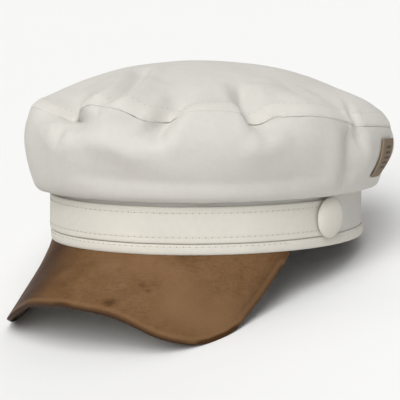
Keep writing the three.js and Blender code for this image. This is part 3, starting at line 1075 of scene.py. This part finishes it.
def label_material():
    """Tan ribbon weave with a few plain dark bars woven across it and a lighter border."""
    material, n, shader = new_material("label_weave")
    threads = n.add("ShaderNodeUVMap", {"uv_map": "threads"}).outputs["UV"]
    flat = n.add("ShaderNodeUVMap", {"uv_map": "label"}).outputs["UV"]
    split = n.add("ShaderNodeSeparateXYZ", Vector=flat)
    across = split.outputs["X"]
    along = split.outputs["Y"]
    bar_pitch = 3.1 * MM
    repeats = n.math("FRACT", n.math("DIVIDE", along, bar_pitch))
    bars = n.math("MULTIPLY", n.between(across, 4 * MM, 10.5 * MM, 0.15 * MM),
                  n.between(along, 3.6 * MM, 19.4 * MM, 0.15 * MM))
    bars = n.math("MULTIPLY", bars, n.between(repeats, 0.25, 0.72, 0.06))
    border = n.math("SUBTRACT", 1.0, n.between(across, 1.1 * MM, 13.7 * MM, 0.2 * MM))
    ribs = n.add("ShaderNodeTexWave", {"wave_type": "BANDS", "bands_direction": "Y"}, Vector=threads,
                 Scale=900.0)
    fuzz = n.noise(threads, scale=1200.0, detail=3.0)
    tan = colours().label
    colour = n.mix(n.share(fuzz, 0.6), rgba(tan), rgba(tan, 1.35))
    colour = n.mix(n.share(border, 0.5), colour, rgba(tan, 1.7))
    colour = n.mix(n.share(bars, 0.85), colour, rgba(colours().label_mark))
    n.set(shader, "Base Color", colour)
    n.bump(shader, ribs.outputs["Fac"], 0.2 * MM)
    shader.inputs["Roughness"].default_value = 0.85
    return material


class HAT_OT_stage(bpy.types.Operator):
    """Sets the pale floor, the soft studio light and the camera at the photo's angle"""

    bl_idname = "hat.stage"
    bl_label = "Stage"

    def execute(self, context):
        bpy.ops.object.select_all(action="DESELECT")
        bpy.ops.mesh.primitive_plane_add(size=FLOOR_SIDE)
        floor = context.object
        floor.name = "floor"
        material, n, shader = new_material("pale_floor")
        place = n.add("ShaderNodeTexCoord").outputs["Object"]
        tone = n.noise(place, scale=6.0)
        pale = colours().floor
        n.set(shader, "Base Color", n.mix(n.share(tone, 0.1), rgba(pale), rgba(pale, 0.97)))
        shader.inputs["Roughness"].default_value = 0.9
        floor.data.materials.append(material)
        world = bpy.data.worlds.new("studio")
        context.scene.world = world
        world.use_nodes = True
        background = world.node_tree.nodes["Background"]
        background.inputs["Color"].default_value = (1, 1, 1, 1)
        air = Nodes(world.node_tree)
        seen = air.add("ShaderNodeLightPath").outputs["Is Camera Ray"]
        extra = air.share(seen, BACKDROP_LIGHT - AIR_LIGHT)
        air.set(background, "Strength", air.math("ADD", extra, AIR_LIGHT))
        for row in LIGHTS:
            towards = direction(math.radians(row["turn"]), math.radians(row["rise"]))
            light = new_object(row["name"], bpy.data.lights.new(row["name"], "SUN"))
            light.data.angle = LIGHT_WIDTH
            light.data.energy = row["strength"]
            light.data.color = row["colour"]
            light.location = towards
            light.rotation_euler = (-towards).to_track_quat("-Z", "Y").to_euler()
        camera = new_object("camera", bpy.data.cameras.new("camera"))
        camera.data.sensor_width = SENSOR_WIDTH
        camera.data.lens = sizes().camera_lens
        camera.data.clip_end = CAMERA_REACH
        camera.matrix_world = camera_matrix()
        context.scene.camera = camera
        context.scene.view_settings.view_transform = "Standard"
        return {"FINISHED"}


class HAT_OT_crown(bpy.types.Operator):
    """Makes the crown's top and side panels with their folds, puckers and topstitched seam"""

    bl_idname = "hat.crown"
    bl_label = "Crown"

    def execute(self, context):
        straight = top_seam()
        seam = slide(straight, straight)
        folds = rows_on(surface_of(*CROWN_NODES), FOLDS)
        for node, name in zip(CROWN_NODES, ("crown_top_panel", "crown_front_panel", "crown_back_panel")):
            self.panel(node, name, straight, seam, folds)
        for name, path, closed in (
            ("crown_top_welt", seam, True),
            ("crown_left_welt", slide(side_seam(1), straight), False),
            ("crown_right_welt", slide(side_seam(-1), straight), False),
        ):
            relief, _ = crown_relief(path, seam, folds, False)
            sunk = path + shared_directions(path) * (relief - WELT_DEPTH)[:, None]
            welt(name, sunk, WELT_RADIUS, closed, crown_cloth())
        return {"FINISHED"}

    def panel(self, node, name, straight, seam, folds):
        """One panel, slid from the solids' straight seam to the photo's, and the top's rows of stitches."""
        top = node == "crown_top"
        piece = copy_of(node, name)
        soften(piece, sizes().edge_round)
        points = slide(vertices_of(piece), straight)
        put_vertices(piece, points)
        relief, from_seam = crown_relief(points, seam, folds, top)
        move_out(piece, relief, shared_directions(points))
        lay_uv(piece, flat=top)
        # Painted shade along the top seam's crease, carried by the attribute seam
        mark(piece, "seam", np.exp(-((from_seam / SEAM_SHADE_WIDTH) ** 2)))
        # The attribute doubled carries a painted highlight on the top panel's doubled allowance
        mark(piece, "doubled", doubled_cloth(from_seam) * top)
        finish_piece(piece, crown_cloth(), "crown_cloth", node)
        if top:
            for row in CROWN_ROWS:
                path, outward = contour(piece, from_seam, row["from_seam"] * MM)
                sew(row["name"], path, outward, row["fineness"])


class HAT_OT_band(bpy.types.Operator):
    """Makes the upright band and the folded hem with its row of stitches"""

    bl_idname = "hat.band"
    bl_label = "Band and hem"

    def execute(self, context):
        s = sizes()
        band = copy_of("band", "band_cloth")
        split_upright(band, cuts=5)
        soften(band, s.edge_round)
        move_out(band, uneven(vertices_of(band), *UNEVEN_BAND))
        lay_uv(band)
        finish_piece(band, crown_cloth(), "band_cloth", "band")
        hem = copy_of("hem", "hem_fold")
        soften(hem, s.edge_round)
        self.close_up(hem)
        lay_uv(hem)
        finish_piece(hem, strap_cloth(), "band_cloth", "hem")
        height = HEM_TOP - s.hem_row
        path, outward = oval_row(height, face_out(hem, height), s.hem_row_span)
        sew("hem_topstitch", path, outward)
        return {"FINISHED"}

    def close_up(self, hem, rise=0.26 * MM):
        """Draws the hem's upper edge against the strap."""
        height = in_hat(vertices_of(hem))[:, 2]
        lift(hem, rise * fade(height, HEM_TOP - 1.2 * MM, HEM_TOP - 0.3 * MM))


def face_out(piece, height, near=0.6 * MM):
    """How far a ring's outer face stands out from the band at a height."""
    own = in_hat(vertices_of(piece))
    level = own[np.abs(own[:, 2] - height) < near]
    return float(np.abs(level[:, 0]).max()) - BAND_HALF_WIDTH


def oval_row(height, out, span, steps=240):
    """Path round the band's front to the same angle on either side, with its outward directions."""
    stops = [beside_band(angle, out, height) for angle in np.linspace(-span, span, steps)]
    return np.array([stop[0] for stop in stops]), np.array([stop[1] for stop in stops])


class HAT_OT_strap(bpy.types.Operator):
    """Makes the strap round the front with its two rows of stitches"""

    bl_idname = "hat.strap"
    bl_label = "Strap"

    def execute(self, context):
        s = sizes()
        strap = copy_of("strap", "front_strap")
        split_upright(strap, cuts=7)
        soften(strap, s.strap_edge_round)
        points = vertices_of(strap)
        heights = in_hat(points)[:, 2]
        rows = (STRAP_LOW + s.strap_row, STRAP_HIGH - s.strap_row)
        grooves = GROOVE_DEPTH * sum(np.exp(-(((heights - row) / GROOVE_HALF) ** 2)) for row in rows)
        outer = outward_of(strap, points)[1]
        move_out(strap, (uneven(points, *UNEVEN_STRAP) - grooves) * outer)
        lay_uv(strap)
        finish_piece(strap, strap_cloth(), "strap_cloth", "strap")
        for name, row in zip(("strap_topstitch_lower", "strap_topstitch_upper"), rows):
            path, outward = oval_row(row, face_out(strap, row) - STRAP_STITCH_DEPTH, s.strap_row_span)
            sew(name, path, outward)
        return {"FINISHED"}


class HAT_OT_buttons(bpy.types.Operator):
    """Makes the two covered buttons"""

    bl_idname = "hat.buttons"
    bl_label = "Buttons"

    def execute(self, context):
        for node, name in (("button_left", "button_left_cover"), ("button_right", "button_right_cover")):
            button = copy_of(node, name)
            soften(button, sizes().strap_edge_round, sharp=math.radians(60))
            lay_uv(button)
            finish_piece(button, strap_cloth(), "strap_cloth", node)
        return {"FINISHED"}


class HAT_OT_peak(bpy.types.Operator):
    """Makes the leather peak with its turned edge and pale underside"""

    bl_idname = "hat.peak"
    bl_label = "Peak"

    def execute(self, context):
        peak = copy_of("peak", "peak_leather")
        soften(peak, sizes().peak_edge_round)
        points = vertices_of(peak)
        edge = self.edge_distance(points)
        outside = outward_of(peak, points)[1]
        mark(peak, "edge", edge)
        mark(peak, "marks_and_sheen", self.marks_and_sheen(points))
        mark(peak, "inner", (~outside) * fade(edge, 3.4 * MM, 4.6 * MM))
        move_out(peak, uneven(points, *UNEVEN_PEAK))
        self.tuck_in(peak)
        lay_uv(peak, flat=True)
        finish_piece(peak, leather_material(), "peak_leather", "peak")
        return {"FINISHED"}

    def tuck_in(self, peak, rise=0.9 * MM):
        """Draws the sewn edge up into the hem."""
        below = -in_hat(vertices_of(peak))[:, 2]
        lift(peak, rise * (1 - fade(below, 0.5 * MM, 5 * MM)))

    def marks_and_sheen(self, points):
        """How much darker or, below zero, lighter each point's leather is painted, painted sheen included.
        """
        tone = np.zeros(len(points))
        for spot, path in zip(MARKS_AND_SHEEN, rows_on(surface_of("peak"), MARKS_AND_SHEEN)):
            share, _ = share_of(path, spot["width"] * MM, points, 3)
            tone += spot["tone"] * np.exp(-(share ** 2))
        return tone

    def edge_distance(self, points):
        """Distance of each point from the peak's outer edge."""
        sheet = merged_points("peak")
        angles = round_angles(sheet)
        edge = []
        for turn in np.arange(-PEAK_SPAN, PEAK_SPAN, PEAK_STEP):
            near = sheet[np.abs(angles - math.radians(turn)) < math.radians(PEAK_STEP / 2)]
            if len(near):
                edge.append(near[np.argmin(in_hat(near)[:, 2])])
        return distance_to(resampled(edge, MM), points)[0]


class HAT_OT_label(bpy.types.Operator):
    """Makes the woven label on the crown's left rear"""

    bl_idname = "hat.label"
    bl_label = "Label"

    def execute(self, context):
        label = copy_of("side_label", "side_label_flag")
        soften(label, sizes().label_edge_round)
        lay_uv(label)
        self.lay_label_uv(label)
        finish_piece(label, label_material(), "label_weave", "side_label")
        return {"FINISHED"}

    def lay_label_uv(self, label):
        """A second map across and along the label, in metres from its corner."""
        points = vertices_of(label)
        _, directions = np.linalg.eigh(np.cov((points - points.mean(axis=0)).T))
        flat = points @ directions[:, 1:]
        flat -= flat.min(axis=0)
        layer = label.data.uv_layers.new(name="label")
        uv = flat[read(label.data.loops, "vertex_index")]
        layer.data.foreach_set("uv", uv.astype(np.float32).ravel())


class HAT_PT_panel(bpy.types.Panel):
    """Lists the hat's pieces and their sizes"""

    bl_idname = "HAT_PT_panel"
    bl_label = "Captain Hat"
    bl_space_type = "VIEW_3D"
    bl_region_type = "UI"
    bl_category = "Captain Hat"

    def draw(self, context):
        for operator in OPERATORS:
            self.layout.operator(operator.bl_idname)
        for settings in (context.scene.hat_sizes, context.scene.hat_colours):
            box = self.layout.box()
            for name in settings.bl_rna.properties.keys():
                if name not in ("rna_type", "name"):
                    box.prop(settings, name)


OPERATORS = (
    HAT_OT_stage,
    HAT_OT_crown,
    HAT_OT_band,
    HAT_OT_strap,
    HAT_OT_buttons,
    HAT_OT_peak,
    HAT_OT_label,
)
CLASSES = (HatSizes, HatColours, *OPERATORS, HAT_PT_panel)


def register():
    for cls in CLASSES:
        bpy.utils.register_class(cls)
    bpy.types.Scene.hat_sizes = PointerProperty(type=HatSizes)
    bpy.types.Scene.hat_colours = PointerProperty(type=HatColours)


def unregister():
    del bpy.types.Scene.hat_colours
    del bpy.types.Scene.hat_sizes
    for cls in reversed(CLASSES):
        bpy.utils.unregister_class(cls)


def main():
    register()
    bpy.ops.hat.stage()
    bpy.ops.hat.crown()
    bpy.ops.hat.band()
    bpy.ops.hat.strap()
    bpy.ops.hat.buttons()
    bpy.ops.hat.peak()
    bpy.ops.hat.label()


if __name__ == "__main__":
    main()
